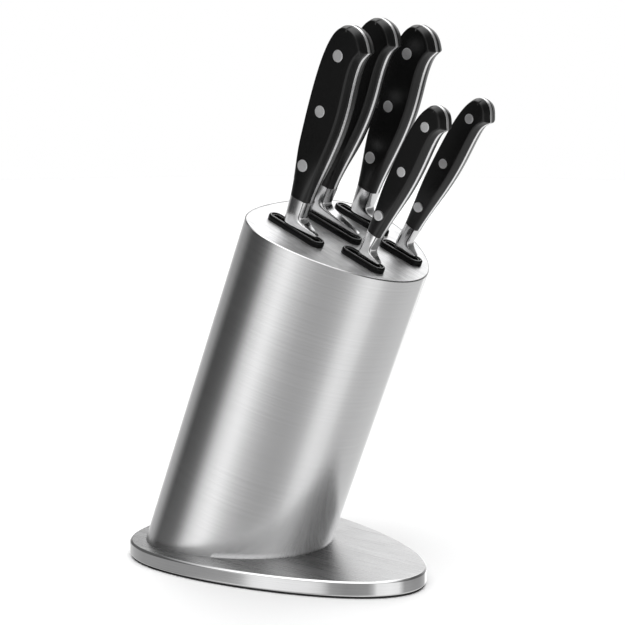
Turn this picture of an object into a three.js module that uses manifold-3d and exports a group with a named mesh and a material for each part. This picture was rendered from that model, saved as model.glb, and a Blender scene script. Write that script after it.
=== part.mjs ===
// Knife block with five knives.
// A leaning, egg-shaped steel tube stands on an egg-shaped steel base. Its top is closed by a
// plate with five lined slots, and a full-tang kitchen knife hangs in each slot by its bolster.
// Millimetres, +Z up. The origin is the centre of the underside, and the tube leans towards +X.

import * as THREE from 'three';
import { mergeVertices } from 'three/addons/utils/BufferGeometryUtils.js';
import Module from 'manifold-3d';

const wasm = await Module();
wasm.setup();

// ---------------------------------------------------------------- driving dimensions

const GAP = 0.3;                 // between pieces that touch
const FIT = 0.1;                 // between the pieces of one handle

const BASE = { halfLength: 100, halfWidth: 69.5, egg: 22, thickness: 9.8, chamfer: 1.1 };
const PAD = { thickness: 1.2, inset: 1.2 };

const BODY = {
  halfDepth: 53.9,               // section across the tube's axis, in the direction of the lean
  halfWidth: 59.7,
  egg: 8.9,                      // how much blunter the back of the section is than its front
  wall: 1.5,
  rimWall: 0.7,                  // left of the wall where the top plate lies in the mouth
  length: 219.3,                 // along the axis, from the base to the top plate
  lean: THREE.MathUtils.degToRad(21.76),
  footX: -43.8,                  // where the axis meets the base
};

const PLATE = { thickness: 1.8, skirtDepth: 8, skirtWall: 1.4, recess: 0.25 };
const FLANGE = { thickness: 2.5, opening: 0.6 };
const SCREW = { radius: 2.4, headRadius: 4.7, headHeight: 2.6, spanX: 70, spanY: 72 };
const NUT = { acrossFlats: 8, height: 4 };

const SLEEVE = {
  width: 10, height: 3.3, depth: 20, lip: 1.2, neckInset: 1.8, sideWall: 1.3, endWall: 0.8,
};
const SLOT_SHIFT = 2;            // the slots sit this far to +Y of the tube's middle

const BLADE = { thickness: 2.2, edge: 0.3, spineStep: 1.2, guardStep: 0.6 };
const TANG = 2.2;
const BARREL_TAPER = 0.86;        // the bolster's barrel at the blade, against its top
const GUARD_TIP = 3.8;            // thickness of the bolster at the heel
const SCALE_ROUND = 2.2;          // rounding along the edges of the handles
const BEAK = { undercut: 2.6, overhang: 3 };   // how sharply the belly and the butt meet

// Outlines of the handles, in the knife's own frame: x = 0 on the rivets, +x towards
// the cutting edge, z = 0 under the bolster and +z towards the butt.
const LARGE_HANDLE = {
  neck: 17, butt: 124.6, thickness: 15, rivetRadius: 3.6, rivets: [37.7, 72.2, 106.7],
  spineAtNeck: -4.9, spineAtBack: -11.8, bellyAtNeck: 9.3, bellyAtPalm: 14, bellyAtWaist: 11.4,
  beak: 15.1, barrelHalf: 6.6, guardHeight: 5.2,
};
const SMALL_HANDLE = {
  neck: 14.5, butt: 101.8, thickness: 13, rivetRadius: 3, rivets: [27.4, 58.1, 88.8],
  spineAtNeck: -4.1, spineAtBack: -9.2, bellyAtNeck: 5.5, bellyAtPalm: 8.1, bellyAtWaist: 6.8,
  beak: 10.6, barrelHalf: 5.4, guardHeight: 4,
};
const MEDIUM_HANDLE = { ...SMALL_HANDLE, neck: 15, butt: 106.6, rivets: [29.2, 61.4, 93.6] };

// Each knife: middle and half length of its slot on the top plate, how far it leans forward in
// the slot, where its rivet line stands from the slot's middle, how high its bolster sits, and
// its blade. tipDrop is the share of the blade's depth that the edge climbs close to the tip.
const KNIVES = [
  { name: 'carving', handle: LARGE_HANDLE, x: -8.6, y: -32.7, slot: 21.2, tilt: 0.3, shift: -5.1,
    seat: 4.2, heel: 21, length: 200, tipDrop: 0.75, scallops: 0 },
  { name: 'chef', handle: LARGE_HANDLE, x: -7.7, y: 0, slot: 24, tilt: 2.7, shift: -15.9,
    seat: 5.8, heel: 36.6, length: 200, tipDrop: 0.55, scallops: 0 },
  { name: 'bread', handle: LARGE_HANDLE, x: -8.6, y: 32.7, slot: 21.2, tilt: 1.3, shift: -5.1,
    seat: 4.5, heel: 21, length: 200, tipDrop: 0.35, scallops: 22 },
  { name: 'paring', handle: SMALL_HANDLE, x: 33.9, y: -18.9, slot: 15.6, tilt: 9.6, shift: -1.7,
    seat: 5.7, heel: 13, length: 90, tipDrop: 0.5, scallops: 0 },
  { name: 'utility', handle: MEDIUM_HANDLE, x: 34.4, y: 18.9, slot: 15.6, tilt: 11.5, shift: -2.8,
    seat: 5.7, heel: 12.8, length: 125, tipDrop: 0.5, scallops: 0 },
];

// ---------------------------------------------------------------- materials

const brushedSteel = { color: 0xb9bbbd, roughness: 0.34, metalness: 1 };
const satinSteel = { color: 0xc6c7c9, roughness: 0.24, metalness: 1 };
const bladeSteel = { color: 0xcccdcf, roughness: 0.2, metalness: 1 };
const zincSteel = { color: 0xa3a5a8, roughness: 0.42, metalness: 1 };
const glossyBlack = { color: 0x08080a, roughness: 0.14, metalness: 0 };
const satinBlack = { color: 0x161617, roughness: 0.42, metalness: 0 };
const rubberBlack = { color: 0x111112, roughness: 0.85, metalness: 0 };

// ---------------------------------------------------------------- helpers

function solidOf(geometry) {
  const bare = geometry.index ? geometry.toNonIndexed() : geometry.clone();
  bare.deleteAttribute('normal');
  bare.deleteAttribute('uv');
  const merged = mergeVertices(bare, 1e-4);
  return new wasm.Manifold(new wasm.Mesh({
    numProp: 3,
    vertProperties: new Float32Array(merged.attributes.position.array),
    triVerts: new Uint32Array(merged.index.array),
  }));
}

function geometryOf(solid) {
  const mesh = solid.getMesh();
  const geometry = new THREE.BufferGeometry();
  geometry.setAttribute('position', new THREE.BufferAttribute(mesh.vertProperties, 3));
  geometry.setIndex(new THREE.BufferAttribute(mesh.triVerts, 1));
  geometry.computeVertexNormals();
  return geometry;
}

function piece(parent, name, geometry, finish) {
  const mesh = new THREE.Mesh(geometry, new THREE.MeshStandardMaterial(finish));
  mesh.name = name;
  parent.add(mesh);
  return mesh;
}

// Points of a closed outline moved inwards along their normals.
function inset(points, distance) {
  const count = points.length;
  return points.map((point, i) => {
    const before = points[(i + count - 1) % count];
    const after = points[(i + 1) % count];
    const along = after.clone().sub(before).normalize();
    return new THREE.Vector2(point.x - along.y * distance, point.y + along.x * distance);
  });
}

// Egg outline: an ellipse made blunt on -X and narrow on +X by its second harmonic.
function egg(halfX, halfY, harmonic, shiftX, segments) {
  const points = [];
  for (let i = 0; i < segments; i += 1) {
    const t = (2 * Math.PI * i) / segments;
    const x = halfX * Math.cos(t) + harmonic * Math.cos(2 * t) + shiftX;
    points.push(new THREE.Vector2(x, halfY * Math.sin(t)));
  }
  return points;
}

// Slot outline: a rectangle with half-round ends, long in X.
function slotShape(halfLength, width) {
  const radius = width / 2;
  const shape = new THREE.Shape();
  shape.absarc(halfLength - radius, 0, radius, -Math.PI / 2, Math.PI / 2);
  shape.absarc(radius - halfLength, 0, radius, Math.PI / 2, (3 * Math.PI) / 2);
  return shape;
}

// The outline as straight steps, without the doubled points where two curves join.
function stepped(shape, curveSegments) {
  const points = Array.isArray(shape) ? shape : shape.getPoints(curveSegments);
  const apart = points.filter((point, i) => {
    const before = points[(i + points.length - 1) % points.length];
    return point.distanceTo(before) > 1e-3;
  });
  return new THREE.Shape(apart);
}

// Prism of an outline in the XY plane, from z = low up to z = high.
function prism(outline, low, high, curveSegments = 8) {
  const geometry = new THREE.ExtrudeGeometry(stepped(outline, curveSegments), {
    depth: high - low, bevelEnabled: false,
  });
  return geometry.translate(0, 0, low);
}

// Prism of an outline in the XZ plane, centred on y = 0, with rounded edges of size round.
function sideSlab(shape, thickness, round = 0, curveSegments = 8) {
  const geometry = new THREE.ExtrudeGeometry(stepped(shape, curveSegments), {
    depth: thickness - 2 * round,
    bevelEnabled: round > 0,
    bevelThickness: round,
    bevelSize: round,
    bevelOffset: -round,
    bevelSegments: 2,
  });
  geometry.translate(0, 0, round - thickness / 2);
  return geometry.rotateX(Math.PI / 2);
}

function cylinder(radius, low, high, segments = 16) {
  const geometry = new THREE.CylinderGeometry(radius, radius, high - low, segments);
  return geometry.rotateX(Math.PI / 2).translate(0, 0, (low + high) / 2);
}

// Steps through every pair of +1 and -1.
function corners() {
  return [[1, 1], [-1, 1], [-1, -1], [1, -1]];
}

// ---------------------------------------------------------------- base

const baseTop = PAD.thickness + BASE.thickness;

function baseOutline(segments) {
  return egg(BASE.halfLength, BASE.halfWidth, BASE.egg, -BASE.egg, segments);
}

// The screws stand on a rectangle about the foot of the tube.
function screwPlaces() {
  return corners().map(([sx, sy]) => ({
    x: BODY.footX + 3 + (sx * SCREW.spanX) / 2,
    y: (sy * SCREW.spanY) / 2,
  }));
}

function basePlate() {
  const outline = baseOutline(60);
  const geometry = new THREE.ExtrudeGeometry(new THREE.Shape(outline), {
    depth: BASE.thickness - 2 * BASE.chamfer,
    bevelThickness: BASE.chamfer,
    bevelSize: BASE.chamfer,
    bevelOffset: -BASE.chamfer,
    bevelSegments: 1,
  });
  geometry.translate(0, 0, PAD.thickness + BASE.chamfer);
  let solid = solidOf(geometry);
  for (const { x, y } of screwPlaces()) {
    const hole = cylinder(SCREW.radius + GAP, 0, baseTop + 1);
    const sink = cylinder(SCREW.headRadius + GAP, 0, PAD.thickness + SCREW.headHeight + GAP);
    solid = solid.subtract(solidOf(hole.translate(x, y, 0)));
    solid = solid.subtract(solidOf(sink.translate(x, y, 0)));
  }
  return geometryOf(solid);
}

function basePad() {
  return prism(inset(baseOutline(60), PAD.inset), 0, PAD.thickness - GAP / 3);
}

// ---------------------------------------------------------------- tube, flange and top plate

function bodyOutline(distance) {
  return inset(egg(BODY.halfDepth, BODY.halfWidth, BODY.egg, 0, 60), distance);
}

// Puts geometry made about the tube's axis, with z = 0 at the foot, into its leaning place.
function leaning(geometry) {
  return geometry.rotateY(BODY.lean).translate(BODY.footX, 0, baseTop);
}

// Everything between two heights, over the whole base.
function layer(low, high) {
  const width = 4 * BASE.halfLength;
  const geometry = new THREE.BoxGeometry(width, width, high - low);
  return solidOf(geometry.translate(0, 0, (low + high) / 2));
}

function bodyShell() {
  const overlap = 60;
  const outer = solidOf(leaning(prism(bodyOutline(0), -overlap, BODY.length)));
  const inner = solidOf(leaning(prism(bodyOutline(BODY.wall), -overlap - 5, BODY.length + 5)));
  const ledge = BODY.length - PLATE.recess - PLATE.thickness - GAP / 3;
  const mouthCut = solidOf(leaning(prism(bodyOutline(BODY.rimWall), ledge, BODY.length + 5)));
  const below = layer(-2 * overlap, baseTop + GAP / 3);
  return geometryOf(outer.subtract(inner).subtract(mouthCut).subtract(below));
}

function footFlange() {
  const overlap = 60;
  const low = baseTop + GAP / 3;
  const high = low + FLANGE.thickness;
  const fill = solidOf(leaning(prism(bodyOutline(BODY.wall + GAP), -overlap, overlap)));
  const opening = egg(
    BODY.halfDepth * FLANGE.opening, BODY.halfWidth * FLANGE.opening, BODY.egg, BODY.footX, 32,
  );
  let solid = fill.intersect(layer(low, high));
  solid = solid.subtract(solidOf(prism(opening, low - 5, high + 5)));
  for (const { x, y } of screwPlaces()) {
    const hole = cylinder(SCREW.radius + GAP, low - 5, high + 5);
    solid = solid.subtract(solidOf(hole.translate(x, y, 0)));
  }
  return geometryOf(solid);
}

function baseScrew() {
  const tip = baseTop + FLANGE.thickness + NUT.height + 2;
  const headTop = PAD.thickness + SCREW.headHeight;
  const head = solidOf(cylinder(SCREW.headRadius, PAD.thickness, headTop, 20));
  const shank = solidOf(cylinder(SCREW.radius, PAD.thickness + 1, tip, 12));
  const socket = solidOf(cylinder(SCREW.radius * 0.6, PAD.thickness - 1, headTop - 1, 6));
  return geometryOf(head.add(shank).subtract(socket));
}

function baseNut() {
  const low = baseTop + GAP / 3 + FLANGE.thickness + GAP / 3;
  const corner = NUT.acrossFlats / Math.sqrt(3);
  const hexagon = solidOf(cylinder(corner, low, low + NUT.height, 6));
  return geometryOf(hexagon.subtract(solidOf(cylinder(SCREW.radius + FIT, low - 1, low + 9, 12))));
}

// The plate lies on a ledge in the mouth of the tube, and its skirt fits inside the wall.
function topPlate() {
  const top = -PLATE.recess;
  const under = top - PLATE.thickness;
  const lid = prism(bodyOutline(BODY.rimWall + GAP), under, top);
  const skirt = prism(bodyOutline(BODY.wall + GAP), top - PLATE.skirtDepth, under + 1);
  const hollow = prism(
    bodyOutline(BODY.wall + GAP + PLATE.skirtWall), top - PLATE.skirtDepth - 1, under,
  );
  let solid = solidOf(lid).add(solidOf(skirt)).subtract(solidOf(hollow));
  for (const knife of KNIVES) {
    const shape = slotShape(knife.slot - SLEEVE.neckInset + GAP, neckWidth() + 2 * GAP);
    const cut = prism(shape, top - PLATE.skirtDepth, top + 1);
    solid = solid.subtract(solidOf(cut.translate(knife.x, knife.y + SLOT_SHIFT, 0)));
  }
  return geometryOf(solid);
}

// ---------------------------------------------------------------- slot sleeves

function neckWidth() {
  return SLEEVE.width - 2 * SLEEVE.neckInset;
}

// A rounded collar on the plate, with a neck that goes down through it round the blade.
function slotSleeve(halfLength) {
  const collarLow = GAP / 3 - PLATE.recess;
  const collar = new THREE.ExtrudeGeometry(stepped(slotShape(halfLength, SLEEVE.width), 5), {
    depth: SLEEVE.height - collarLow - SLEEVE.lip,
    bevelThickness: SLEEVE.lip,
    bevelSize: SLEEVE.lip,
    bevelOffset: -SLEEVE.lip,
    bevelSegments: 2,
  });
  collar.translate(0, 0, collarLow);
  const neck = prism(slotShape(halfLength - SLEEVE.neckInset, neckWidth()), -SLEEVE.depth, 1, 5);
  const opening = slotShape(
    halfLength - SLEEVE.neckInset - SLEEVE.endWall, neckWidth() - 2 * SLEEVE.sideWall,
  );
  const hole = prism(opening, -SLEEVE.depth - 1, SLEEVE.height + 1, 4);
  const below = new THREE.BoxGeometry(4 * halfLength, 60, 60).translate(0, 0, collarLow - 30);
  const rounded = solidOf(collar).subtract(solidOf(below));
  return geometryOf(rounded.add(solidOf(neck)).subtract(solidOf(hole)));
}

// ---------------------------------------------------------------- knives

// Side outline of a handle: gently swollen spine, concave belly, and a beak at the butt.
// The outline goes on past the bolster by the given length.
function handleOutline(h, past) {
  const at = (part) => h.neck + part * (h.butt - h.neck);
  const { bellyAtNeck, bellyAtPalm, bellyAtWaist, beak, spineAtBack, spineAtNeck } = h;
  const shape = new THREE.Shape();
  shape.moveTo(spineAtNeck, h.neck - past);
  shape.lineTo(bellyAtNeck, h.neck - past);
  shape.lineTo(bellyAtNeck, h.neck);
  shape.bezierCurveTo(bellyAtNeck, at(0.13), bellyAtPalm, at(0.31), bellyAtPalm, at(0.48));
  shape.bezierCurveTo(bellyAtPalm, at(0.62), bellyAtWaist, at(0.7), bellyAtWaist, at(0.79));
  shape.bezierCurveTo(bellyAtWaist, at(0.85), beak - BEAK.undercut, at(0.865), beak, at(0.905));
  shape.bezierCurveTo(beak - BEAK.overhang, at(0.95), beak * 0.55, h.butt, 0, h.butt);
  shape.bezierCurveTo(
    spineAtBack * 0.6, h.butt, spineAtBack, at(0.93), spineAtBack, at(0.72),
  );
  shape.bezierCurveTo(spineAtBack, at(0.53), spineAtNeck - 3, at(0.23), spineAtNeck, h.neck);
  return shape;
}

function rivetHole(h, z) {
  const hole = new THREE.CylinderGeometry(h.rivetRadius + FIT, h.rivetRadius + FIT, 40, 12);
  return solidOf(hole.translate(0, 0, z));
}

// Handle scale on the side given by sign: half of the handle, less the tang and the rivets.
function scale(h, sign) {
  const whole = solidOf(sideSlab(handleOutline(h, 5), h.thickness, SCALE_ROUND, 5));
  const reach = 40;
  const cutter = new THREE.BoxGeometry(4 * reach, 2 * reach, 8 * reach);
  cutter.translate(0, sign * (TANG / 2 + FIT - reach), h.butt / 2);
  const below = new THREE.BoxGeometry(4 * reach, 2 * reach, 2 * reach);
  below.translate(0, 0, h.neck + FIT - reach);
  let solid = whole.subtract(solidOf(cutter)).subtract(solidOf(below));
  for (const z of h.rivets) {
    solid = solid.subtract(rivetHole(h, z));
  }
  return geometryOf(solid);
}

// Oval barrel of the bolster, joined to a guard that thins down towards the heel.
function bolster(h, heel) {
  const middle = (h.spineAtNeck + h.bellyAtNeck) / 2;
  const half = (h.bellyAtNeck - h.spineAtNeck) / 2 + FIT;
  const barrel = new THREE.CylinderGeometry(1, BARREL_TAPER, h.neck, 24);
  barrel.rotateX(Math.PI / 2).scale(half, h.barrelHalf, 1);
  barrel.translate(middle, 0, h.neck / 2);
  const plan = new THREE.Shape();
  const shoulder = middle + half * 0.7;
  plan.moveTo(middle, -h.barrelHalf * BARREL_TAPER);
  plan.quadraticCurveTo(shoulder, -h.barrelHalf * BARREL_TAPER, heel, -GUARD_TIP / 2);
  plan.lineTo(heel, GUARD_TIP / 2);
  plan.quadraticCurveTo(
    shoulder, h.barrelHalf * BARREL_TAPER, middle, h.barrelHalf * BARREL_TAPER,
  );
  const side = new THREE.Shape();
  side.moveTo(middle, 0);
  side.lineTo(heel, 0);
  side.lineTo(heel, 1.2);
  side.quadraticCurveTo(shoulder + 2, h.guardHeight / 2, shoulder, h.guardHeight * 1.5);
  side.lineTo(middle, h.guardHeight * 1.5);
  const guard = solidOf(prism(plan, -1, h.neck)).intersect(solidOf(sideSlab(side, 40)));
  return solidOf(barrel).add(guard);
}

// Cutting edge from the heel to the tip, as points of a side outline.
function edgePoints(knife, spine) {
  const heel = knife.heel - BLADE.guardStep;
  const depth = heel - spine;
  const points = [];
  const steps = 14;
  for (let i = 0; i <= steps; i += 1) {
    const part = i / steps;
    const rise = depth * (1 - knife.tipDrop) * part ** 4 + depth * knife.tipDrop * part ** 9;
    points.push(new THREE.Vector2(heel - rise, -knife.length * part));
  }
  return points;
}

function bladeOutline(knife, spine) {
  const shape = new THREE.Shape();
  const edge = edgePoints(knife, spine);
  const tip = edge.pop();
  shape.moveTo(spine, 1);
  shape.lineTo(edge[0].x, 1);
  if (knife.scallops > 0) {
    const curve = new THREE.SplineCurve(edge);
    const count = knife.scallops;
    for (let i = 0; i < count; i += 1) {
      const valley = curve.getPoint((i + 0.5) / count);
      const crest = curve.getPoint((i + 1) / count);
      shape.lineTo(valley.x - 1.3, valley.y);
      shape.lineTo(crest.x, crest.y);
    }
  } else {
    edge.forEach((point) => shape.lineTo(point.x, point.y));
  }
  shape.lineTo(Math.max(tip.x, spine + 0.4), tip.y);
  shape.lineTo(spine, -knife.length * 0.97);
  shape.closePath();
  return shape;
}

// Blade, bolster and full tang, forged in one.
function forging(knife) {
  const h = knife.handle;
  const spine = h.spineAtNeck + BLADE.spineStep;
  const wedge = new THREE.Shape();
  wedge.moveTo(spine - 1, -BLADE.thickness / 2);
  wedge.lineTo(spine + 4, -BLADE.thickness / 2);
  wedge.lineTo(knife.heel + 0.5, -BLADE.edge / 2);
  wedge.lineTo(knife.heel + 0.5, BLADE.edge / 2);
  wedge.lineTo(spine + 4, BLADE.thickness / 2);
  wedge.lineTo(spine - 1, BLADE.thickness / 2);
  wedge.closePath();
  const slab = solidOf(sideSlab(bladeOutline(knife, spine), 2 * BLADE.thickness));
  const blade = slab.intersect(solidOf(prism(wedge, -knife.length - 5, 5)));
  let tang = solidOf(sideSlab(handleOutline(h, 1), TANG, 0, 5));
  for (const z of h.rivets) {
    tang = tang.subtract(rivetHole(h, z));
  }
  return geometryOf(blade.add(bolster(h, knife.heel)).add(tang));
}

function rivet(h, z) {
  const pin = new THREE.CylinderGeometry(h.rivetRadius, h.rivetRadius, h.thickness + 0.1, 12);
  return pin.translate(0, 0, z);
}

function buildKnife(parent, knife) {
  const h = knife.handle;
  const group = new THREE.Group();
  const tilt = THREE.MathUtils.degToRad(knife.tilt);
  const along = new THREE.Vector3(knife.shift, 0, knife.seat);
  along.applyAxisAngle(new THREE.Vector3(0, 1, 0), tilt);
  group.position.set(knife.x + along.x, knife.y + SLOT_SHIFT, along.z);
  group.rotation.y = tilt;
  parent.add(group);
  piece(group, `${knife.name}_knife_blade`, forging(knife), bladeSteel);
  piece(group, `${knife.name}_knife_scale_left`, scale(h, -1), satinBlack);
  piece(group, `${knife.name}_knife_scale_right`, scale(h, 1), satinBlack);
  h.rivets.forEach((z, i) => {
    piece(group, `${knife.name}_knife_rivet_${i + 1}`, rivet(h, z), satinSteel);
  });
}

// ---------------------------------------------------------------- assembly

const block = new THREE.Group();
piece(block, 'base_pad', basePad(), rubberBlack);
piece(block, 'base_plate', basePlate(), brushedSteel);
piece(block, 'body_shell', bodyShell(), brushedSteel);
piece(block, 'foot_flange', footFlange(), zincSteel);
screwPlaces().forEach(({ x, y }, i) => {
  piece(block, `base_screw_${i + 1}`, baseScrew(), zincSteel).position.set(x, y, 0);
  piece(block, `base_nut_${i + 1}`, baseNut(), zincSteel).position.set(x, y, 0);
});

// Everything at the mouth of the tube is placed in a group that leans with it.
const mouth = new THREE.Group();
mouth.rotation.y = BODY.lean;
mouth.position.set(
  BODY.footX + BODY.length * Math.sin(BODY.lean), 0, baseTop + BODY.length * Math.cos(BODY.lean),
);
block.add(mouth);
piece(mouth, 'top_plate', topPlate(), brushedSteel);
for (const knife of KNIVES) {
  const sleeve = piece(
    mouth, `${knife.name}_slot_sleeve`, slotSleeve(knife.slot), glossyBlack,
  );
  sleeve.position.set(knife.x, knife.y + SLOT_SHIFT, 0);
  buildKnife(mouth, knife);
}

export default block;
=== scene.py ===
import math

import bpy
import numpy as np
from mathutils import Matrix, Vector
from mathutils.geometry import tessellate_polygon


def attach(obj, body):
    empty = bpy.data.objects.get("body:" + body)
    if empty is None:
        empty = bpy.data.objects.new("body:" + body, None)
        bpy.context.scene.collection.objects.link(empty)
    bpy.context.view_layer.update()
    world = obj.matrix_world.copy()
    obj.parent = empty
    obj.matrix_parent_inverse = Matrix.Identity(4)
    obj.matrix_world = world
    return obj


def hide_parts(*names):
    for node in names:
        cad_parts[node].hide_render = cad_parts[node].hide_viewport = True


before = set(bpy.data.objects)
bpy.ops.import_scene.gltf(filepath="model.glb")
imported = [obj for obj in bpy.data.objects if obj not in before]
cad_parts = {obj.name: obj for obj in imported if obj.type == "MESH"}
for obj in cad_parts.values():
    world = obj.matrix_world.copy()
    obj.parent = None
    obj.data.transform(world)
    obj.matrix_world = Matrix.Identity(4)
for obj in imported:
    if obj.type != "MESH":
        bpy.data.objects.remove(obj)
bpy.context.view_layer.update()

# Dimensions are in millimetres, and meshes are scaled to metres when they are made.
MM = 0.001
GAP = 0.3

# Points round the closed outlines.
BASE_POINTS = 360
TUBE_POINTS = 300
FLOOR_POINTS = 96

# ------------------------------------------------------------------ sizes of the object

PAD_THICKNESS = 1.2
PAD_INSET = 1.2
BASE = dict(a=100, b=69.5, egg=22, shift=-22, thickness=9.8, chamfer=1.1)
BASE_TOP = PAD_THICKNESS + BASE["thickness"]

TUBE = dict(a=53.9, b=59.7, egg=8.9, shift=0)
TUBE_WALL = 1.5
RIM_WALL = 0.7
TUBE_LENGTH = 219.3
LEAN = math.radians(21.76)
FOOT_X = -43.8

PLATE_RECESS = 0.25
PLATE_THICKNESS = 1.8
SKIRT_DEPTH = 8.25
SKIRT_WALL = 1.4

SCREW_RADIUS = 2.4
SCREW_HEAD_RADIUS = 4.7
SCREW_HEAD_HEIGHT = 2.6
SCREW_SPAN_X = 70
SCREW_SPAN_Y = 72

SLOT_WIDTH = 10
SLOT_SHIFT = 2
SLEEVE_DEPTH = 20
NECK_INSET = 1.8

TANG = 2.2
BLADE_THICKNESS = 2.2
SPINE_STEP = 1.2          # the blade's back, in from the bolster's
GUARD_STEP = 0.6          # the blade's edge, in from the guard's tip
BLADE_ROOT = 0.6          # how far the blade reaches up into the bolster
SCALLOP_DEPTH = 1.3
GUARD_TIP = 3.8
BARREL_TAPER = 0.86
BARREL_POWER = 2.8
BARREL_SHARE = 0.87
CREASE = 0.25
RIB_AT_HEEL = 1.6
SWEEP_TOP = 0.44          # height where the guard's sweep starts, as a share of the neck's
HEEL_TIP = 1.3            # height of the guard's front edge
WORN_EDGE = 0.4           # rounding under the bolster

LARGE = dict(
    neck=17, butt=124.6, thickness=15, rivet=3.6, rivets=(37.7, 72.2, 106.7),
    spine_neck=-4.9, spine_back=-11.8, belly_neck=9.3, belly_palm=14, belly_waist=11.4,
    beak=15.1, barrel=6.6,
)
SMALL = dict(
    neck=14.5, butt=101.8, thickness=13, rivet=3.0, rivets=(27.4, 58.1, 88.8),
    spine_neck=-4.1, spine_back=-9.2, belly_neck=5.5, belly_palm=8.1, belly_waist=6.8,
    beak=10.6, barrel=5.4,
)
MEDIUM = dict(SMALL, neck=15, butt=106.6, rivets=(29.2, 61.4, 93.6))

KNIVES = (
    dict(name="carving", handle=LARGE, x=-8.6, y=-32.7, slot=21.2, tilt=0.3, shift=-5.1,
         seat=4.2, heel=21, length=200, drop=0.75, scallops=0),
    dict(name="chef", handle=LARGE, x=-7.7, y=0, slot=24, tilt=2.7, shift=-15.9,
         seat=5.8, heel=36.6, length=200, drop=0.55, scallops=0),
    dict(name="bread", handle=LARGE, x=-8.6, y=32.7, slot=21.2, tilt=1.3, shift=-5.1,
         seat=4.5, heel=21, length=200, drop=0.35, scallops=22),
    dict(name="paring", handle=SMALL, x=33.9, y=-18.9, slot=15.6, tilt=9.6, shift=-1.7,
         seat=5.7, heel=13, length=90, drop=0.5, scallops=0),
    dict(name="utility", handle=MEDIUM, x=34.4, y=18.9, slot=15.6, tilt=11.5, shift=-2.8,
         seat=5.7, heel=12.8, length=125, drop=0.5, scallops=0),
)

# ------------------------------------------------------------------ materials


class Nodes:
    """A node tree being built: add() makes a node with its settings and its inputs."""

    def __init__(self, owner):
        owner.use_nodes = True
        self.tree = owner.node_tree
        self.tree.nodes.clear()

    def add(self, kind, settings=None, **inputs):
        node = self.tree.nodes.new("ShaderNode" + kind)
        for name, value in (settings or {}).items():
            setattr(node, name, value)
        for name, value in inputs.items():
            socket = node.inputs[int(name[1:]) if name[1:].isdigit() else name.replace("_", " ")]
            if isinstance(value, bpy.types.NodeSocket):
                self.tree.links.new(value, socket)
            else:
                socket.default_value = value
        return node

    def ramp(self, factor, stops, interpolation="LINEAR"):
        node = self.add("ValToRGB", Fac=factor)
        node.color_ramp.interpolation = interpolation
        elements = node.color_ramp.elements
        while len(elements) < len(stops):
            elements.new(0.5)
        for element, (place, colour) in zip(elements, stops):
            element.position = place
            element.color = (*colour, 1) if len(colour) == 3 else colour
        return node.outputs["Color"]


def grained(name, tones, gloss, metallic, streak, cloud=(18, 18, 18), bump=0.05, depth=0.00002,
            anisotropic=0.0, turn=0.0, axis="Z", specular=0.5, lean=0.0, girth=None):
    """Steel, plastic or rubber whose grain is noise stretched along the way it was worked.

    tones and gloss are the darkest and lightest colour and roughness. streak is the grain's
    frequency on each axis, per metre, and cloud that of the slow changes of tone. lean turns
    the grain about Y, and girth names the map whose first axis runs round a leaning tube.
    """
    material = bpy.data.materials.new(name)
    build = Nodes(material)
    place = build.add("TexCoord").outputs["Object"]
    if lean:
        place = build.add("Mapping", Vector=place, Rotation=(0, -lean, 0)).outputs["Vector"]
    fine_place = build.add("Mapping", Vector=place, Scale=streak).outputs["Vector"]
    slow_place = build.add("Mapping", Vector=place, Scale=cloud).outputs["Vector"]
    fine = build.add("TexNoise", Vector=fine_place, Scale=1.0, Detail=3.0, Roughness=0.6)
    slow = build.add("TexNoise", Vector=slow_place, Scale=1.0, Detail=2.0, Roughness=0.5)
    both = build.add(
        "Mix", {"data_type": "FLOAT"}, Factor=0.35, A=fine.outputs["Fac"], B=slow.outputs["Fac"],
    ).outputs["Result"]
    colour = build.ramp(both, ((0.34, tones[0]), (0.66, tones[1])))
    roughness = build.add(
        "MapRange", None, Value=both, i1=0.3, i2=0.7, i3=gloss[0], i4=gloss[1],
    ).outputs["Result"]
    normal = build.add(
        "Bump", Strength=bump, Distance=depth, Height=fine.outputs["Fac"],
    ).outputs["Normal"]
    shader = build.add(
        "BsdfPrincipled", Base_Color=colour, Roughness=roughness, Metallic=metallic,
        Normal=normal, Anisotropic=anisotropic, Anisotropic_Rotation=turn,
        Specular_IOR_Level=specular,
    )
    if anisotropic:
        along = {"direction_type": "UV_MAP", "uv_map": girth} if girth else {
            "direction_type": "RADIAL", "axis": axis}
        tangent = build.add("Tangent", along)
        build.tree.links.new(tangent.outputs["Tangent"], shader.inputs["Tangent"])
    out = build.add("OutputMaterial")
    build.tree.links.new(shader.outputs["BSDF"], out.inputs["Surface"])
    return material


def grey(level):
    return (level, level, level * 1.005)


TUBE_STEEL = grained("tube_steel", (grey(0.605), grey(0.66)), (0.215, 0.245), 1.0,
                     (12, 12, 2600), (4, 4, 900), 0.05, 0.00003, 0.88, 0.25,
                     lean=LEAN, girth="girth")
PLATE_STEEL = grained("top_plate_steel", (grey(0.58), grey(0.94)), (0.44, 0.54), 1.0,
                      (22, 2400, 2400), (110, 130, 130), 0.12, 0.00003)
FLAT_STEEL = grained("plate_steel", (grey(0.52), grey(0.70)), (0.22, 0.34), 1.0,
                     (22, 2400, 2400), (30, 160, 160), 0.10, 0.00003, 0.6, 0.25, "Y")
EDGE_STEEL = grained("base_edge_steel", (grey(0.60), grey(0.66)), (0.04, 0.07), 1.0,
                     (30, 30, 1500), (12, 12, 60), 0.02, 0.00001)
SATIN_STEEL = grained("bolster_steel", (grey(0.76), grey(0.79)), (0.15, 0.18), 1.0,
                      (300, 300, 200), (40, 40, 30), 0.0, 0.00001)
BLADE_STEEL = grained("blade_steel", (grey(0.58), grey(0.68)), (0.16, 0.24), 1.0,
                      (120, 400, 3600), (30, 60, 200), 0.06, 0.00002)
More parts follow.
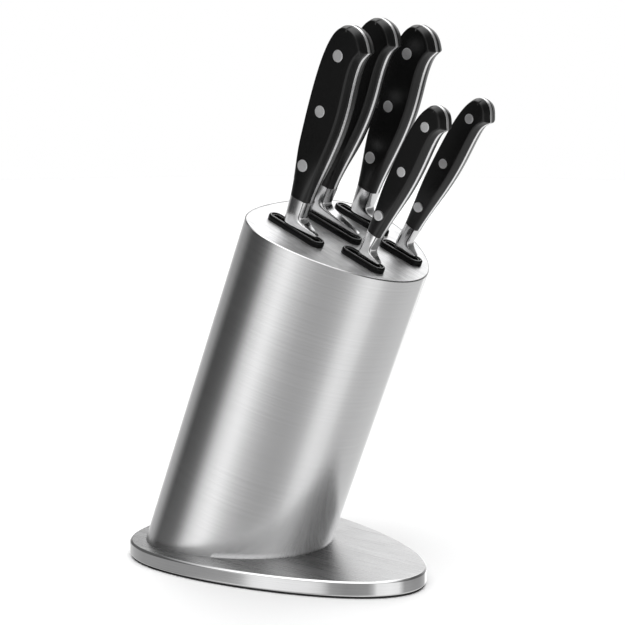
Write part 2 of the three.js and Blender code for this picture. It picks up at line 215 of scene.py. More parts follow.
TANG_STEEL = grained("tang_steel", (grey(0.86), grey(0.95)), (0.30, 0.38), 1.0,
                     (600, 3000, 160), (60, 60, 30), 0.05, 0.00002)
RIVET_STEEL = grained("rivet_steel", (grey(0.92), grey(0.99)), (0.42, 0.48), 1.0,
                      (900, 900, 2600), (200, 200, 300), 0.06, 0.00001)
ZINC = grained("zinc", (grey(0.42), grey(0.56)), (0.36, 0.5), 1.0,
               (900, 900, 900), (120, 120, 120), 0.15, 0.00003)
HANDLE_BLACK = grained("handle_plastic", (grey(0.002), grey(0.004)), (0.26, 0.33), 0.0,
                       (2600, 2600, 2600), (60, 60, 25), 0.06, 0.00002, specular=0.45)
SLEEVE_BLACK = grained("sleeve_plastic", (grey(0.001), grey(0.003)), (0.05, 0.08), 0.0,
                       (900, 900, 900), (90, 90, 90), 0.01, 0.00001, specular=0.14)
# Lighter grey on the sleeves' lip top and inner ridge: painted highlight lines on the black plastic.
SLEEVE_PAINTED_HIGHLIGHT = grained("sleeve_painted_highlight_plastic", (grey(0.16), grey(0.24)), (0.10, 0.16), 0.0,
                       (900, 900, 900), (90, 90, 90), 0.01, 0.00001)
# Dark steel for the bolsters' crease groove: painted shade in the crease, on what is otherwise the
# bolster's own steel.
GROOVE_PAINTED_SHADE = grained("groove_painted_shade_steel", (grey(0.05), grey(0.08)), (0.40, 0.50), 1.0,
                       (900, 900, 900), (90, 90, 90), 0.02, 0.00001)
RUBBER = grained("pad_rubber", (grey(0.010), grey(0.020)), (0.75, 0.9), 0.0,
                 (1800, 1800, 1800), (60, 60, 60), 0.3, 0.00006)

# ------------------------------------------------------------------ mesh building


def piece(name, body, material, parts, place=None, replaces=(), sharp=32):
    """Makes an object of one or more (vertices, faces) parts and puts it on its body.

    material is one material, or several with parts giving a third value, the material's index.
    """
    vertices, faces, finish = [], [], []
    for part in parts:
        faces += [[i + len(vertices) for i in face] for face in part[1]]
        finish += list(part[2]) if len(part) > 2 else [0] * len(part[1])
        vertices += [tuple(MM * float(v) for v in point) for point in part[0]]
    mesh = bpy.data.meshes.new(name)
    mesh.from_pydata(vertices, [], faces)
    for each in material if isinstance(material, (list, tuple)) else [material]:
        mesh.materials.append(each)
    mesh.polygons.foreach_set("material_index", finish)
    mesh.update()
    mesh.shade_smooth()
    mesh.set_sharp_from_angle(angle=math.radians(sharp))
    obj = bpy.data.objects.new(name, mesh)
    bpy.context.scene.collection.objects.link(obj)
    obj.matrix_world = place or Matrix.Identity(4)
    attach(obj, body)
    if replaces:
        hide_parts(*replaces)
    return obj


def outwards(vertices, faces):
    """The same part with its faces turned so that it encloses a positive volume."""
    points = np.array(vertices, float)
    volume = 0.0
    for face in faces:
        for i in range(1, len(face) - 1):
            a, b, c = points[face[0]], points[face[i]], points[face[i + 1]]
            volume += float(np.dot(a, np.cross(b, c)))
    return [face[::-1] for face in faces] if volume < 0 else faces


def loft(rings, joined=False):
    """A closed part through closed rings of equal size, capped, or joined last to first."""
    count = len(rings[0])
    vertices = [tuple(point) for ring in rings for point in ring]
    steps = len(rings) if joined else len(rings) - 1
    faces = []
    for r in range(steps):
        low, high = r * count, (r + 1) % len(rings) * count
        for i in range(count):
            j = (i + 1) % count
            faces.append([low + i, low + j, high + j, high + i])
    if not joined:
        faces.append(list(range(count))[::-1])
        faces.append([(len(rings) - 1) * count + i for i in range(count)])
    return vertices, outwards(vertices, faces)


def egg(shape, inset=0.0, count=240):
    """Points of an egg outline, moved inwards along its normals."""
    t = np.linspace(0, 2 * np.pi, count, endpoint=False)
    x = shape["a"] * np.cos(t) + shape["egg"] * np.cos(2 * t) + shape["shift"]
    y = shape["b"] * np.sin(t)
    dx = -shape["a"] * np.sin(t) - 2 * shape["egg"] * np.sin(2 * t)
    dy = shape["b"] * np.cos(t)
    size = np.hypot(dx, dy)
    return np.c_[x - inset * dy / size, y + inset * dx / size]


def stadium(half_length, inset=0.0, x=0.0, y=0.0, arc=14):
    """Points of a slot outline, a rectangle with half-round ends, moved inwards."""
    radius = SLOT_WIDTH / 2
    turn = np.linspace(-np.pi / 2, np.pi / 2, arc)
    straight = half_length - radius
    right = np.c_[straight + (radius - inset) * np.cos(turn), (radius - inset) * np.sin(turn)]
    return np.r_[right, -right] + (x, y)


def circle(radius, x, y, count=32):
    t = np.linspace(0, 2 * np.pi, count, endpoint=False)
    return np.c_[x + radius * np.cos(t), y + radius * np.sin(t)]


def slab(outline, profile, holes=()):
    """A part between two flat faces.

    profile steps (inset, z) round the outline from the lower face to the upper, and each hole
    is (its outline, its own profile) with the same ends.
    """
    vertices, faces, caps = [], [], ([], [])
    for number, (shape, steps) in enumerate([(outline, profile), *holes]):
        for step, (inset, z) in enumerate(steps):
            ring = shape(inset)
            start = len(vertices)
            count = len(ring)
            vertices += [(x, y, z) for x, y in ring]
            if step in (0, len(steps) - 1):
                caps[0 if step == 0 else 1].append(list(range(start, start + count)))
            if step:
                for i in range(count):
                    j = (i + 1) % count
                    low, high = start - count, start
                    quad = [low + i, low + j, high + j, high + i]
                    faces.append(quad if number == 0 else quad[::-1])
    for side, loops in enumerate(caps):
        flat = [i for loop in loops for i in loop]
        corners = [[Vector(vertices[i]) for i in loop] for loop in loops]
        for triangle in tessellate_polygon(corners):
            face = [flat[i] for i in triangle]
            a, b, c = (np.array(vertices[i]) for i in face)
            upward = np.cross(b - a, c - a)[2] > 0
            faces.append(face if upward == (side == 1) else face[::-1])
    return vertices, faces


def inset_polygon(points, distance):
    """Points of a closed polygon moved inwards, where the polygon runs anticlockwise."""
    along = np.roll(points, -1, 0) - np.roll(points, 1, 0)
    along /= np.maximum(np.hypot(along[:, 0], along[:, 1]), 1e-9)[:, None]
    return points + distance * np.c_[-along[:, 1], along[:, 0]]


def bezier(points, count):
    """Points along a Bezier curve of any degree."""
    t = np.linspace(0, 1, count)[:, None]
    stack = [np.array(point, float)[None, :] for point in points]
    while len(stack) > 1:
        stack = [(1 - t) * a + t * b for a, b in zip(stack, stack[1:])]
    return stack[0]


def smooth(value):
    value = np.clip(value, 0, 1)
    return value * value * (3 - 2 * value)


# ------------------------------------------------------------------ base


def base_and_pad():
    chamfer = BASE["chamfer"]
    low, high = PAD_THICKNESS, BASE_TOP
    rounding = (
        (chamfer, low), (chamfer * 0.5, low + chamfer * 0.45), (0.06, low + chamfer - 0.06),
        (0, low + chamfer + 0.1), (0, low + chamfer + 0.3), (0, high - chamfer - 0.3),
        (0, high - chamfer - 0.1), (0.06, high - chamfer + 0.04), (0.2, high - chamfer + 0.2),
        (chamfer - 0.2, high - 0.18), (chamfer, high - 0.03), (chamfer + 0.12, high),
        (chamfer + 0.4, high),
    )
    holes = []
    for sx, sy in ((1, 1), (-1, 1), (-1, -1), (1, -1)):
        x = FOOT_X + 3 + sx * SCREW_SPAN_X / 2
        y = sy * SCREW_SPAN_Y / 2
        wide, narrow = SCREW_HEAD_RADIUS + GAP, SCREW_RADIUS + GAP
        sink = low + SCREW_HEAD_HEIGHT + GAP
        steps = ((wide, low), (wide, sink), (narrow, sink + 0.01), (narrow, high))
        holes.append((lambda radius, x=x, y=y: circle(radius, x, y), steps))
    vertices, faces = slab(lambda d: egg(BASE, d, BASE_POINTS), rounding, holes)
    edge_faces = BASE_POINTS * (len(rounding) - 1)
    finish = [1 if i < edge_faces else 0 for i in range(len(faces))]
    piece("base_plate_brushed", "block", [FLAT_STEEL, EDGE_STEEL],
          [(vertices, faces, finish)], replaces=["base_plate"], sharp=28)
    pad = ((PAD_INSET + 0.3, 0), (PAD_INSET, 0.25), (PAD_INSET, PAD_THICKNESS - 0.05))
    vertices, faces = slab(lambda d: egg(BASE, d, BASE_POINTS), pad)
    piece("base_pad_rubber", "block", RUBBER, [(vertices, faces)],
          replaces=["base_pad"])


# ------------------------------------------------------------------ tube and top plate

RIM_BEVEL = 0.6
FOOT = Matrix.Translation((FOOT_X * MM, 0, BASE_TOP * MM)) @ Matrix.Rotation(LEAN, 4, "Y")
MOUTH = FOOT @ Matrix.Translation((0, 0, TUBE_LENGTH * MM))


def tube():
    """The leaning shell: outside wall, bevelled rim, ledge for the plate, inside, slanted foot.

    Its vertices are placed already leaning, and a map runs round its girth for the brushing.
    """
    count = TUBE_POINTS
    rings = []

    def slanted(inset, rise):
        ring = egg(TUBE, inset, count)
        return np.c_[ring, ring[:, 0] * math.tan(LEAN) + rise]

    def level(inset, z):
        return np.c_[egg(TUBE, inset, count), np.full(count, z)]

    rings.append(slanted(TUBE_WALL, 0.02))
    rings.append(slanted(0.15, 0.02))
    rings.append(slanted(0, 0.25))
    for part in (0.02, 0.25, 0.5, 0.75):
        foot, top = slanted(0, 0.25), level(0, TUBE_LENGTH - RIM_BEVEL - 0.3)
        rings.append(foot + part * (top - foot))
    rings.append(level(0, TUBE_LENGTH - RIM_BEVEL - 0.3))
    rings.append(level(0, TUBE_LENGTH - RIM_BEVEL - 0.04))
    bevel = len(rings)
    for inset in (0.04, 0.15, RIM_BEVEL - 0.15, RIM_BEVEL - 0.02):
        rings.append(level(inset, TUBE_LENGTH - RIM_BEVEL + inset))
    rings.append(level(RIM_BEVEL + 0.04, TUBE_LENGTH))
    rings.append(level(RIM_WALL - 0.02, TUBE_LENGTH))
    rings.append(level(RIM_WALL, TUBE_LENGTH - 0.04))
    ledge = TUBE_LENGTH - PLATE_RECESS - PLATE_THICKNESS - GAP / 3
    rings.append(level(RIM_WALL, ledge))
    rings.append(level(TUBE_WALL, ledge))
    vertices, faces = loft(rings, True)
    finish = [1 if bevel <= face // count < bevel + 6 else 0 for face in range(len(faces))]
    vertices = [tuple(v / MM for v in FOOT @ (Vector(point) * MM)) for point in vertices]
    obj = piece("tube_shell_brushed", "block", [TUBE_STEEL, EDGE_STEEL],
                [(vertices, faces, finish)], None, ["body_shell"])
    girth = obj.data.uv_layers.new(name="girth")
    for loop in obj.data.loops:
        ring, place = divmod(loop.vertex_index, count)
        girth.data[loop.index].uv = (place / count, ring / len(rings))
    for face in obj.data.polygons:
        ends = [girth.data[i].uv for i in face.loop_indices]
        if max(uv.x for uv in ends) - min(uv.x for uv in ends) > 0.5:
            for uv in ends:
                uv.x += 1 if uv.x < 0.5 else 0


def top_plate():
    """The plate with its five slots, and the skirt that hangs from its edge inside the tube."""
    rim, inset = RIM_WALL + 0.03, TUBE_WALL + GAP
    top = -PLATE_RECESS
    under = top - PLATE_THICKNESS
    edge = ((rim, under), (rim, top - 0.1), (rim + 0.03, top - 0.03), (rim + 0.1, top),
            (rim + 0.4, top))
    holes = []
    for knife in KNIVES:
        where = dict(half_length=knife["slot"], x=knife["x"], y=knife["y"] + SLOT_SHIFT)
        steps = ((NECK_INSET - GAP, under), (NECK_INSET - GAP, top))
        holes.append((lambda d, where=where: stadium(inset=d, **where), steps))
    vertices, faces = slab(lambda d: egg(TUBE, d, TUBE_POINTS), edge, holes)

    def ring(distance, z):
        return np.c_[egg(TUBE, distance, TUBE_POINTS), np.full(TUBE_POINTS, z)]

    deep = top - SKIRT_DEPTH
    skirt = loft([
        ring(inset, under - 0.01), ring(inset, deep + 0.2), ring(inset + 0.2, deep),
        ring(inset + SKIRT_WALL, deep), ring(inset + SKIRT_WALL, under - 0.01),
    ], True)
    piece("top_plate_brushed", "block", PLATE_STEEL,
          [(vertices, faces), skirt], MOUTH, ["top_plate"])


# Insets of the profile steps whose faces are painted lighter grey, as painted highlight lines.
PAINTED_HIGHLIGHT_INSETS = (0.85, 1.0, 1.25, 2.6)


def sleeve(knife):
    """A slot's lining: a collar with a rounded lip and an inner ridge, and a neck below."""
    opening = 3.1
    profile = (
        (0.05, GAP / 3 - PLATE_RECESS), (0, 0.1), (0, 1.9), (0.06, 2.35), (0.24, 2.78),
        (0.55, 3.1), (0.85, 3.25), (1.0, 3.29), (1.25, 3.3), (1.4, 3.22), (1.52, 3.0),
        (1.6, 2.75), (1.72, 2.5), (1.95, 2.42), (2.2, 2.5), (2.4, 2.7), (2.6, 2.8),
        (2.8, 2.78), (2.98, 2.62), (opening, 2.35),
        (opening, 1.5), (opening, -SLEEVE_DEPTH + 0.3), (opening - 0.2, -SLEEVE_DEPTH),
        (NECK_INSET + 0.2, -SLEEVE_DEPTH), (NECK_INSET, -SLEEVE_DEPTH + 0.3),
        (NECK_INSET, GAP / 3 - PLATE_RECESS),
    )
    rings = []
    for inset, z in profile:
        ring = stadium(knife["slot"], inset)
        rings.append(np.c_[ring, np.full(len(ring), z)])
    vertices, faces = loft(rings, True)
    # The faces at those steps take the lighter grey: a painted highlight along the lip and the ridge.
    painted_highlight_steps = {step for step, (inset, _) in enumerate(profile) if inset in PAINTED_HIGHLIGHT_INSETS}
    finish = [1 if face // len(rings[0]) in painted_highlight_steps else 0 for face in range(len(faces))]
    place = MOUTH @ Matrix.Translation((knife["x"] * MM, (knife["y"] + SLOT_SHIFT) * MM, 0))
    piece(knife["name"] + "_sleeve_moulded", "block",
          [SLEEVE_BLACK, SLEEVE_PAINTED_HIGHLIGHT], [(vertices, faces, finish)], place,
          [knife["name"] + "_slot_sleeve"])


# ------------------------------------------------------------------ knives


BEAK_UNDERCUT = 2.6
BEAK_OVERHANG = 3


class Handle:
    """Side outline of a handle, as its spine and belly at each height."""

    def __init__(self, h):
        self.h = h

        def at(part):
            return h["neck"] + part * (h["butt"] - h["neck"])

        belly = np.r_[
            bezier(((h["belly_neck"], h["neck"]), (h["belly_neck"], at(0.13)),
                    (h["belly_palm"], at(0.31)), (h["belly_palm"], at(0.48))), 60),
            bezier(((h["belly_palm"], at(0.48)), (h["belly_palm"], at(0.62)),
                    (h["belly_waist"], at(0.7)), (h["belly_waist"], at(0.79))), 40)[1:],
            bezier(((h["belly_waist"], at(0.79)), (h["belly_waist"], at(0.85)),
                    (h["beak"] - BEAK_UNDERCUT, at(0.865)), (h["beak"], at(BEAK_HEIGHT))), 40)[1:],
            bezier(((h["beak"], at(BEAK_HEIGHT)), (h["beak"] - BEAK_OVERHANG, at(0.95)),
                    (h["beak"] * 0.55, h["butt"]), (0, h["butt"])), 90)[1:],
        ]
        spine = np.r_[
            bezier(((h["spine_neck"], h["neck"]), (h["spine_neck"] - 3, at(0.23)),
                    (h["spine_back"], at(0.53)), (h["spine_back"], at(0.72))), 90),
            bezier(((h["spine_back"], at(0.72)), (h["spine_back"], at(0.93)),
                    (h["spine_back"] * 0.6, h["butt"]), (0, h["butt"])), 90)[1:],
        ]
        self.belly_curve, self.spine_curve = belly, spine
        self.outline = np.r_[belly, spine[::-1][1:-1]]

    def span(self, z):
        belly = np.interp(z, self.belly_curve[:, 1], self.belly_curve[:, 0])
        spine = np.interp(z, self.spine_curve[:, 1], self.spine_curve[:, 0])
        return spine, belly

    def depth_inside(self, x, z):
        """How far points are inside the outline, not counting its end at the bolster."""
        a = self.outline
        b = np.r_[self.outline[1:], self.spine_curve[:1]]
        p = np.c_[x, z][:, None, :]
        along = (b - a)[None]
        t = ((p - a) * along).sum(2) / np.maximum((along ** 2).sum(2), 1e-12)
        near = a + np.clip(t, 0, 1)[..., None] * along
        return np.sqrt(((p - near) ** 2).sum(2)).min(1)

    def levels(self):
        """Heights of the cross-sections, closer together round the butt."""
        h = self.h
        length = h["butt"] - h["neck"]
        bend = h["neck"] + 0.8 * length
        low = np.linspace(h["neck"], bend, 46)
        turn = np.linspace(0, np.pi / 2, 40)[1:]
        high = bend + (h["butt"] - 0.01 - bend) * np.sin(turn)
        return np.unique(np.r_[low, high, h["neck"] + BEAK_HEIGHT * length])

    def inward(self, start, aim, depths):
        """Points at given depths inside the outline, on a line from it to a point inside."""
        part = np.linspace(0, 1, 48)[:, None]
        line = start + part * (aim - start)
        depth = np.maximum.accumulate(self.depth_inside(line[:, 0], line[:, 1]))
        depth += np.linspace(0, 1e-6, 48)
        return start + np.interp(depths, depth, part[:, 0])[:, None] * (aim - start)


FACE_EDGE = 4.4
FACE_ROUND = 1.0
FACET = math.radians(72)
EDGE_STEPS = np.array((0, 0.08, 0.3, 0.7, 1.1, 1.3, 1.5, 1.7, 1.95, 2.2, 3.2))
OVAL_LENGTH = 34
BEAK_HEIGHT = 0.905       # height of the beak's point, as a share of the grip's length


def scale_height(inside, half):
    """Height of a scale's face above the knife's middle, at a distance inside its outline:
    a near-flat band up from the tang, a tight round, then the flat face."""
    corner = FACE_EDGE / math.tan(FACET)
    tangent = FACE_ROUND * math.tan(FACET / 2)
    lift = np.clip((corner + tangent - inside) / FACE_ROUND, 0, math.sin(FACET))
    rounded = FACE_ROUND * (1 - np.sqrt(1 - lift ** 2))
    straight = (corner - inside) * math.tan(FACET)
    return half - np.where(inside < corner - tangent * math.cos(FACET), straight, rounded)


def scale(handle, side):
    """One handle scale: oval at the bolster, then a flat face inside a band round its edge."""
    h = handle.h
    inner = TANG / 2 + 0.02
    levels = handle.levels()
    centre = h["butt"] - 0.55 * (h["beak"] - h["spine_back"])
    rings = []
    for z in levels:
        spine, belly = handle.span(z)
        height = min(z, centre)
        aim = np.array((sum(handle.span(height)) / 2, height))
        left = handle.inward(np.array((spine, z)), aim, EDGE_STEPS)
        right = handle.inward(np.array((belly, z)), aim, EDGE_STEPS)
        across = np.linspace(0, 1, 11)[1:-1, None]
        row = np.r_[left, left[-1] + across * (right[-1] - left[-1]), right[::-1]]
        flat = scale_height(handle.depth_inside(row[:, 0], row[:, 1]), h["thickness"] / 2)
        low, high = handle.span(row[:, 1])
        share = np.clip((row[:, 0] - low) / np.maximum(high - low, 0.01), 0, 1)
        around = np.clip(1 - np.abs(2 * share - 1) ** BARREL_POWER, 0, 1)
        oval = h["barrel"] * BARREL_SHARE * around ** (1 / BARREL_POWER)
        blend = smooth(1 - (row[:, 1] - h["neck"]) / OVAL_LENGTH)
        y = np.maximum((1 - blend) * flat + blend * oval, inner + 0.01)
        rings.append([(spine, side * inner, z), *zip(row[:, 0], side * y, row[:, 1]),
                      (belly, side * inner, z)])
    return loft(rings)


def tang(handle):
    """The steel tang whose edge shows all round between the scales."""
    points = handle.outline
    points = np.r_[points, handle.spine_curve[:1]]
    rings = []
    for inset, y in ((0.14, -TANG / 2), (0, -TANG / 2 + 0.14), (0, TANG / 2 - 0.14),
                     (0.14, TANG / 2)):
        ring = inset_polygon(points, inset - 0.04)
        rings.append([(x, y, z) for x, z in ring])
    return loft(rings)


def bolster(h, heel):
    """Oval barrel under the handle whose front sweeps down into the finger guard.

    A crease runs down each side, and in front of it a narrower rib goes round the nose.
    """
    middle = (h["spine_neck"] + h["belly_neck"]) / 2
    long = (h["belly_neck"] - h["spine_neck"]) / 2
    neck = h["neck"]
    front = middle + long
    tip = HEEL_TIP
    bend = neck * SWEEP_TOP
    foot = middle + long * (BARREL_TAPER + (1 - BARREL_TAPER) * bend / neck)
    sweep = bezier(((heel, tip), (heel - 0.5 * (heel - foot), neck * 0.2),
                    (foot + 0.1, neck * 0.2), (foot, bend)), 60)
    sweep = np.r_[sweep, [(front, neck)]]
    heights = np.unique(np.r_[0, 0.12, 0.4, 0.8, tip, sweep[3:60:2, 1],
                              np.linspace(bend, neck, 12)])
    rings = []
    for z in heights:
        size = BARREL_TAPER + (1 - BARREL_TAPER) * z / neck
        a, b = long * size, h["barrel"] * BARREL_SHARE * size
        nose = float(np.interp(z, sweep[:, 1], sweep[:, 0])) if z > tip else heel
        nose = max(nose, middle + a)
        out = float(np.clip((nose - middle - a) / (heel - middle - a), 0, 1))
        crease_x = nose - (0.3 * a * (1 - out) + RIB_AT_HEEL * out)
        crease_y = GUARD_TIP / 2 + (0.9 * b - GUARD_TIP / 2) * (1 - out)
        run = crease_x - middle
        lift = 0.35 * (1 + 1.3 * (1 - out)) * (b - crease_y)
        turn = np.linspace(np.pi, np.pi / 2, 15)
        back = np.c_[middle - a * np.abs(np.cos(turn)) ** (2 / BARREL_POWER),
                     b * np.sin(turn) ** (2 / BARREL_POWER)]
        flank = bezier(((middle, b), (middle + 0.4 * run, b - 0.33 * out * (b - crease_y)),
                        (crease_x - 0.35 * run, crease_y + lift), (crease_x, crease_y)), 18)[1:]
        turn = np.linspace(np.pi / 2, 0, 11)
        cut = CREASE * max(0.12, 1 - 1.3 * out)
        rib_x, rib_y = crease_x + 2 * cut, crease_y - cut / 2
        groove = [(crease_x + 0.6 * cut, crease_y - 2 * cut)]
        rib = np.c_[rib_x + (nose - rib_x) * np.cos(turn), rib_y * np.sin(turn)]
        upper = np.r_[back, flank, groove, rib]
        # Ring points in the groove, whose faces get the dark steel as painted shade.
        groove_shade_points = np.zeros(len(upper), bool)
        groove_shade_points[len(back) + len(flank) - 1:][:3] = True
        groove_shade_points = np.r_[groove_shade_points, groove_shade_points[::-1][1:-1]][::-1]
        ring = np.r_[upper, upper[::-1][1:-1] * (1, -1)][::-1]
        worn = max(0.0, WORN_EDGE - z)
        if worn:
            round_off = math.sqrt(max(WORN_EDGE ** 2 - worn ** 2, 0))
            ring = inset_polygon(ring, WORN_EDGE - round_off)
        rings.append([(x, y, z) for x, y in ring])
    vertices, faces = loft(rings)
    # Faces between groove points take the dark steel: painted shade along the crease.
    between = groove_shade_points & np.roll(groove_shade_points, -1)
    finish = [int(flag) for _ in rings[1:] for flag in between] + [0, 0]
    return vertices, faces, finish


def blade(knife):
    """Ground blade: full thickness at the spine, tapering to the edge and to the tip."""
    h = knife["handle"]
    spine = h["spine_neck"] + SPINE_STEP
    heel = knife["heel"] - GUARD_STEP
    depth = heel - spine
    steps = 260 if knife["scallops"] else 90
    rings = []
    for part in np.linspace(0, 1, steps):
        rise = depth * (1 - knife["drop"]) * part ** 4 + depth * knife["drop"] * part ** 9
        edge = max(heel - rise, spine + 0.5)
        if knife["scallops"]:
            bite = abs(math.sin(math.pi * part * knife["scallops"]))
            edge -= SCALLOP_DEPTH * bite * min(1.0, (edge - spine) / 6) * min(1.0, 12 * (1 - part))
        back = spine + max(0.0, part - 0.97) / 0.03 * 0.3
        wide = edge - back
        thick = BLADE_THICKNESS / 2 * (1 - 0.5 * part ** 2)
        z = BLADE_ROOT - part * (knife["length"] + BLADE_ROOT)
        bevel = min(1.1, 0.3 * wide)
        belly = 0.16 + 0.2 * thick
        upper = [
            (back, 0), (back, thick - 0.2 * thick),
            (back + 0.08 * wide, thick), (back + 0.18 * wide, thick),
            (back + 0.4 * wide, thick - 0.25 * (thick - belly)),
            (back + 0.7 * wide, thick - 0.62 * (thick - belly)),
            (edge - bevel, belly), (edge, 0.03),
        ]
        ring = upper + [(x, -y) for x, y in upper[::-1][:-1]]
        rings.append([(x, y, z) for x, y in ring])
    return loft(rings)


def rivet(h, z):
    """A pin through both scales, with a softened edge at each end."""
    half = h["thickness"] / 2 + 0.06
    radius = h["rivet"]
    rings = []
    for r, y in ((radius - 0.5, -half), (radius - 0.25, -half), (radius - 0.06, -half + 0.07),
                 (radius, -half + 0.25), (radius, half - 0.25), (radius - 0.06, half - 0.07),
                 (radius - 0.25, half), (radius - 0.5, half)):
        rings.append([(x, y, z + dz) for x, dz in circle(r, 0, 0, 40)])
    return loft(rings)


def build_knife(knife):
    h = knife["handle"]
    name = knife["name"] + "_knife"
    turn = Matrix.Rotation(math.radians(knife["tilt"]), 4, "Y")
    along = turn @ Vector((knife["shift"], 0, knife["seat"]))
    place = MOUTH @ Matrix.Translation(
        ((knife["x"] + along.x) * MM, (knife["y"] + SLOT_SHIFT) * MM, along.z * MM)
    ) @ turn
    handle = Handle(h)
    piece(name + "_blade_ground", name, BLADE_STEEL, [blade(knife)], place,
          [name + "_blade"], 24)
    # The bolster's groove faces use the dark steel as painted shade.
    piece(name + "_bolster", name, [SATIN_STEEL, GROOVE_PAINTED_SHADE],
          [bolster(h, knife["heel"])], place, (), 52)
    piece(name + "_tang", name, TANG_STEEL, [tang(handle)], place)
    for side, word in ((-1, "left"), (1, "right")):
        piece(f"{name}_scale_{word}_moulded", name, HANDLE_BLACK,
              [scale(handle, side)], place, [f"{name}_scale_{word}"], 28)
    for number, z in enumerate(h["rivets"], 1):
        piece(f"{name}_rivet_{number}_pin", name, RIVET_STEEL, [rivet(h, z)],
              place, [f"{name}_rivet_{number}"])


base_and_pad()
tube()
top_plate()
for knife in KNIVES:
    sleeve(knife)
    build_knife(knife)

# The flange, screws and nuts inside the tube keep their CAD shapes.
for name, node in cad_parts.items():
    if name.startswith(("foot_flange", "base_screw", "base_nut")):
        node.data.materials.clear()
        node.data.materials.append(ZINC)

# ------------------------------------------------------------------ studio

# Brightness of the studio all round, by compass angle in degrees from +X towards +Y, in bands
# that look steeply down, down, level and up. Each has the sine of its height.
DOWN_BAND = (-0.385, (
    (-180, 0.38), (-160, 0.20), (-140, 0.10), (-131, 0.14), (-123, 0.34), (-115, 0.76),
    (-107, 0.92), (-99, 0.86), (-92, 0.58), (-86, 0.44), (-77, 0.36), (-64, 0.33), (-53, 0.37),
    (-44, 0.46), (-36, 0.64), (-26, 0.76), (-10, 0.70), (0, 0.54), (10, 0.48), (30, 0.46),
    (55, 0.50), (85, 0.54), (105, 0.60), (120, 0.72), (135, 0.72), (160, 0.45), (180, 0.38),
))
EDGE_BAND = (-0.318, (
    (-180, 0.34), (-160, 0.27), (-130, 0.25), (-106, 0.26), (-102, 0.34), (-99, 0.68),
    (-94, 0.80), (-80, 0.77), (-75, 0.66), (-70, 0.28), (-62, 0.21), (-46, 0.24),
    (-41, 0.42), (-37, 0.76), (-20, 0.82), (-5, 0.76), (2, 0.46), (8, 0.28), (40, 0.24),
    (60, 0.25), (88, 0.36), (94, 0.60), (100, 0.96), (125, 1.0), (134, 0.70), (145, 0.46),
    (165, 0.42), (180, 0.34),
))
LOW_BAND = (-0.25, (
    (-180, 0.34), (-172, 0.26), (-164, 0.14), (-155, 0.035), (-140, 0.035), (-130, 0.06),
    (-122, 0.14), (-113, 0.60), (-107, 0.86), (-97, 0.98), (-88, 0.84), (-81, 0.48),
    (-72, 0.32), (-55, 0.30), (-44, 0.40), (-36, 0.66), (-20, 0.70), (-8, 0.60), (4, 0.30),
    (16, 0.14), (84, 0.14), (100, 0.60), (120, 0.86), (134, 0.76), (150, 0.48),
    (165, 0.38), (180, 0.34),
))
LEVEL_BAND = (-0.1, (
    (-180, 0.34), (-172, 0.26), (-164, 0.14), (-155, 0.035), (-133, 0.035), (-122, 0.06),
    (-113, 0.15), (-106, 0.56), (-99, 0.92), (-90, 1.08), (-81, 0.92), (-74, 0.52),
    (-67, 0.34), (-55, 0.30), (-44, 0.40), (-36, 0.66), (-20, 0.70), (-8, 0.60), (4, 0.30),
    (16, 0.14), (84, 0.14), (100, 0.60), (120, 0.86), (134, 0.76), (150, 0.48),
    (165, 0.38), (180, 0.34),
))
HIGH_BAND = (0.2, (
    (-180, 0.10), (-150, 0.08), (-125, 0.08), (-108, 0.16), (-96, 0.34), (-86, 0.26),
    (-74, 0.12), (-50, 0.15), (-40, 0.60), (-34, 0.60), (-26, 0.56), (-18, 0.30), (-6, 0.10), (6, 0.06),
    (60, 0.08), (86, 0.20), (100, 0.50), (108, 0.60), (120, 0.57), (127, 0.50), (130, 0.30),
    (134, 0.12), (150, 0.10), (180, 0.10),
))
STEEP_BAND = (0.68, (
    (-180, 0.10), (-150, 0.08), (-60, 0.10), (-40, 0.30), (-20, 0.26), (0, 0.08), (50, 0.08),
    (80, 0.12), (90, 0.95), (100, 1.20), (130, 1.20), (146, 0.60), (165, 0.10), (180, 0.10),
))
HIGHER_BAND = (0.80, (
    (-180, 0.30), (-145, 0.50), (-125, 1.30), (-70, 1.30), (-45, 1.00), (-20, 0.80),
    (0, 0.30), (30, 0.15), (60, 0.30),
    (88, 1.10), (130, 1.10), (146, 0.60), (165, 0.30), (180, 0.30),
))
TOP_BAND = (0.95, ((-180, 1.3), (180, 1.3)))
BANDS = (DOWN_BAND, EDGE_BAND, LOW_BAND, LEVEL_BAND, HIGH_BAND, STEEP_BAND, HIGHER_BAND, TOP_BAND)
STUDIO_GAIN = 1.6


def studio_world():
    world = bpy.data.worlds.new("studio")
    bpy.context.scene.world = world
    build = Nodes(world)
    direction = build.add("TexCoord").outputs["Generated"]
    split = build.add("SeparateXYZ", Vector=direction)
    angle = build.add("Math", {"operation": "ARCTAN2"}, i0=split.outputs["Y"], i1=split.outputs["X"])
    turn = build.add("MapRange", None, Value=angle.outputs[0], i1=-math.pi, i2=math.pi)
    shown, below = None, None
    for height, table in BANDS:
        stops = [((degrees + 180) / 360, (level, level, level)) for degrees, level in table]
        band = build.ramp(turn.outputs[0], stops)
        if shown is None:
            shown = band
        else:
            rise = build.add("MapRange", {"interpolation_type": "SMOOTHSTEP"},
                             Value=split.outputs["Z"], i1=below, i2=height)
            shown = build.add("Mix", {"data_type": "RGBA"}, i0=rise.outputs[0], i6=shown,
                              i7=band).outputs[2]
        below = height
    seen = build.add("Background", Color=(1, 1, 1, 1), Strength=1.0)
    shone = build.add("Background", Color=shown, Strength=STUDIO_GAIN)
    path = build.add("LightPath")
    both = build.add("MixShader", i0=path.outputs["Is Camera Ray"],
                     i1=shone.outputs[0], i2=seen.outputs[0])
    out = build.add("OutputWorld")
    build.tree.links.new(both.outputs[0], out.inputs["Surface"])


LAMP_TILT = (math.radians(12), math.radians(8), 0)
FLOOR_HEIGHT = -0.02      # just under the pad
FLOOR_TONE = (0.93, 0.93, 0.93, 1)

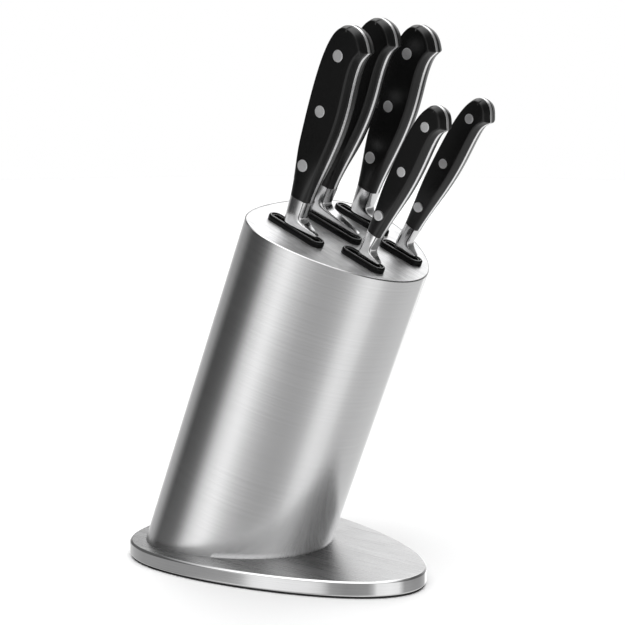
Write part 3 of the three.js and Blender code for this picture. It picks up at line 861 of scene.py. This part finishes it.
# The camera, fitted to the outlines of the base, tube and handles. Metres.
CAMERA_PLACE = (0.66926, -0.82677, 0.35503)
CAMERA_DOWN = math.radians(10.313)
CAMERA_ROUND = math.radians(38.218)
CAMERA_LENS = 99.59
CAMERA_SENSOR = 36


def daylight(strength, spread):
    """Soft light from above that reaches the matt floor and isn't itself seen in the steel."""
    light = bpy.data.lights.new("soft_top_light", "SUN")
    light.energy, light.angle = strength, math.radians(spread)
    lamp = bpy.data.objects.new("soft_top_light", light)
    bpy.context.scene.collection.objects.link(lamp)
    lamp.rotation_euler = LAMP_TILT
    lamp.visible_glossy = False


def floor():
    """Plain pale floor: a wide disc of concentric rings."""
    rings = []
    count = FLOOR_POINTS
    for radius in (2400, 1200, 600, 300):
        rings.append(np.c_[circle(radius, 0, 0, count), np.full(count, FLOOR_HEIGHT)])
    vertices = [tuple(MM * v for v in point) for ring in rings for point in ring]
    faces = []
    for outer in range(0, count * (len(rings) - 1), count):
        inner = outer + count
        for i in range(count):
            j = (i + 1) % count
            faces.append([outer + i, outer + j, inner + j, inner + i])
    faces.append([count * (len(rings) - 1) + i for i in range(count)])
    mesh = bpy.data.meshes.new("floor")
    mesh.from_pydata(vertices, [], faces)
    material = bpy.data.materials.new("floor_paper")
    build = Nodes(material)
    shader = build.add("BsdfDiffuse", Color=FLOOR_TONE)
    out = build.add("OutputMaterial")
    build.tree.links.new(shader.outputs[0], out.inputs["Surface"])
    mesh.materials.append(material)
    obj = bpy.data.objects.new("floor", mesh)
    bpy.context.scene.collection.objects.link(obj)
    obj.visible_glossy = False


def camera():
    data = bpy.data.cameras.new("camera")
    data.sensor_width, data.lens = CAMERA_SENSOR, CAMERA_LENS
    data.clip_start, data.clip_end = 0.05, 20
    obj = bpy.data.objects.new("camera", data)
    bpy.context.scene.collection.objects.link(obj)
    obj.location = CAMERA_PLACE
    obj.rotation_euler = (math.pi / 2 - CAMERA_DOWN, 0, CAMERA_ROUND)
    bpy.context.scene.camera = obj


studio_world()
daylight(1.05, 70)
floor()
camera()
bpy.context.scene.view_settings.view_transform = "Standard"
